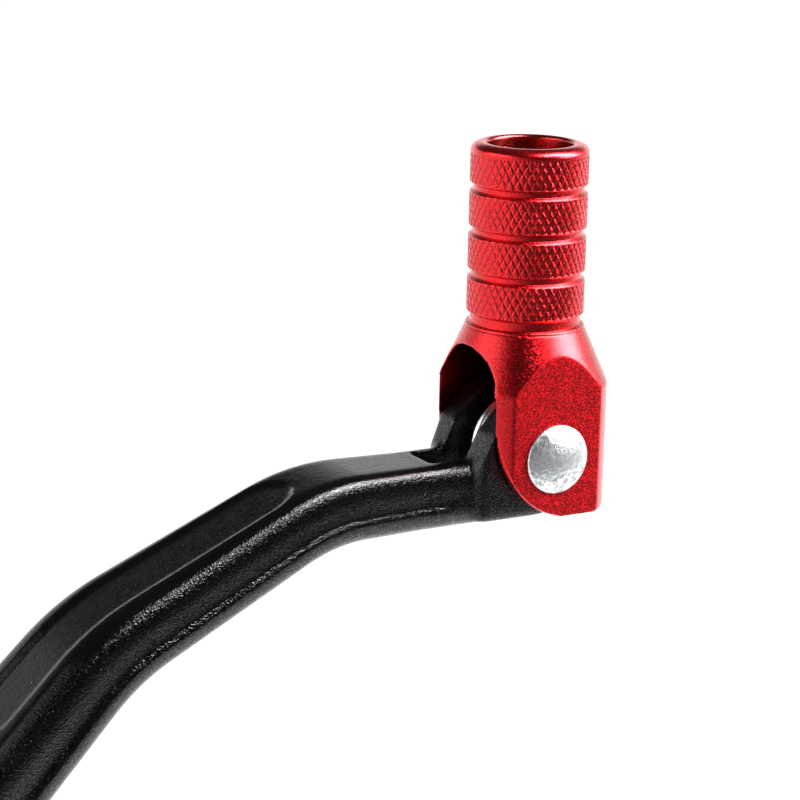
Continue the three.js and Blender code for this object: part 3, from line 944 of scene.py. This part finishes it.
def studio_floor():
    """A pale floor that looks white. Shiny pieces see it by its heading, and bright under the arm.

    The bright part is within 60 mm of the arm's middle plane and fades out by 100 mm.
    """
    size = 4.0
    floor = mesh_object("floor", [(-size, -size, 0), (size, -size, 0), (size, size, 0),
                                  (-size, size, 0)], [(0, 1, 2, 3)])
    floor.location.z = cad_low.z - 0.0002
    n = Nodes(bpy.data.materials.new("pale_floor"))
    n.set(Base_Color=(0.08, 0.08, 0.08, 1), Roughness=0.9, Specular_IOR_Level=0.0)
    x, y, _ = n.place_in_space()
    x = n.maths("SUBTRACT", x, PIVOT.x)
    near = n.remap(n.maths("ABSOLUTE", y, 0), 0.06, 0.1, 1.6, 0)
    seen_in_gloss = n.maths("MAXIMUM", room_level(n, x, y), near)
    path = n.add("ShaderNodeLightPath")
    level = n.maths("MULTIPLY", seen_in_gloss, path.outputs["Is Glossy Ray"])
    level = n.maths("MAXIMUM", level, path.outputs["Is Camera Ray"])
    n.link(level, n.shader.inputs["Emission Strength"])
    n.set(Emission_Color=(1, 1, 1, 1))
    floor.data.materials.append(n.owner)


def studio_world():
    """White to the camera. Shiny pieces see a bright band at the horizon and a dim room above."""
    world = bpy.data.worlds.new("studio")
    bpy.context.scene.world = world
    n = Nodes(world, "Generated")
    x, y, z = n.place_in_space()
    band = n.remap(z, 0.27, 0.38, 1, 0.05)
    seen_in_gloss = n.maths("MULTIPLY", room_level(n, x, y), band)
    path = n.add("ShaderNodeLightPath")
    gloss = path.outputs["Is Glossy Ray"]
    level = n.maths("MULTIPLY", seen_in_gloss, gloss)
    fill = n.maths("MULTIPLY", n.maths("SUBTRACT", 1, gloss), 0.6)
    level = n.maths("MAXIMUM", n.maths("MAXIMUM", level, fill), path.outputs["Is Camera Ray"])
    room = n.tree.nodes["Background"]
    room.inputs["Color"].default_value = (1, 1, 1, 1)
    n.link(level, room.inputs["Strength"])


def softbox(name, azimuth, elevation, distance, width, height, power):
    """A rectangular light aimed at the hinge; azimuth is measured as the camera's is."""
    light = bpy.data.lights.new(name, "AREA")
    light.shape = "RECTANGLE"
    light.size, light.size_y = width, height
    light.energy = power
    lamp = bpy.data.objects.new(name, light)
    bpy.context.scene.collection.objects.link(lamp)
    back = view_vector(azimuth, elevation)
    lamp.location = PIVOT + back * distance
    lamp.rotation_mode = "QUATERNION"
    lamp.rotation_quaternion = back.to_track_quat("Z", "Y")
    return lamp


def keep_light_off(lamp, dark_piece, pieces):
    """Flags a light so that it reaches every piece but one."""
    reached = bpy.data.collections.new("reached_by_" + lamp.name)
    for piece in pieces:
        if piece is not dark_piece:
            reached.objects.link(piece)
    lamp.light_linking.receiver_collection = reached


def view_vector(azimuth, elevation):
    """From the part towards a camera at that azimuth and elevation, in degrees."""
    a, e = math.radians(azimuth), math.radians(elevation)
    return Vector((math.sin(a) * math.cos(e), -math.cos(a) * math.cos(e), math.sin(e)))


def studio_camera():
    """A camera a little above the hinge and to the left of it, turned a little about its axis."""
    azimuth, elevation, roll = -29.6, 14.434, 1.31
    distance = 0.420
    aim_from_pivot = Vector((-0.021563, 0, 0.009082))
    data = bpy.data.cameras.new("camera")
    data.sensor_width = 36.0
    data.lens = 125.75
    data.clip_start = 0.01
    camera = bpy.data.objects.new("camera", data)
    bpy.context.scene.collection.objects.link(camera)
    back = view_vector(azimuth, elevation)
    camera.location = PIVOT + aim_from_pivot + back * distance
    camera.rotation_mode = "QUATERNION"
    turn = back.to_track_quat("Z", "Y").to_matrix()
    camera.rotation_quaternion = (turn @ Matrix.Rotation(math.radians(roll), 3, "Z")).to_quaternion()
    bpy.context.scene.camera = camera


pieces = [obj for obj in bpy.context.scene.objects if obj.type == "MESH"]
studio_floor()
studio_world()
studio_camera()
softbox("overhead", azimuth=42, elevation=60, distance=0.8, width=0.6, height=0.28, power=17)
right = softbox("right", azimuth=57, elevation=32, distance=0.8, width=0.56, height=0.58, power=27)
keep_light_off(right, arm, pieces)
softbox("left", azimuth=-98, elevation=22, distance=0.9, width=0.8, height=0.5, power=3.2)
bpy.context.scene.view_settings.view_transform = "Standard"
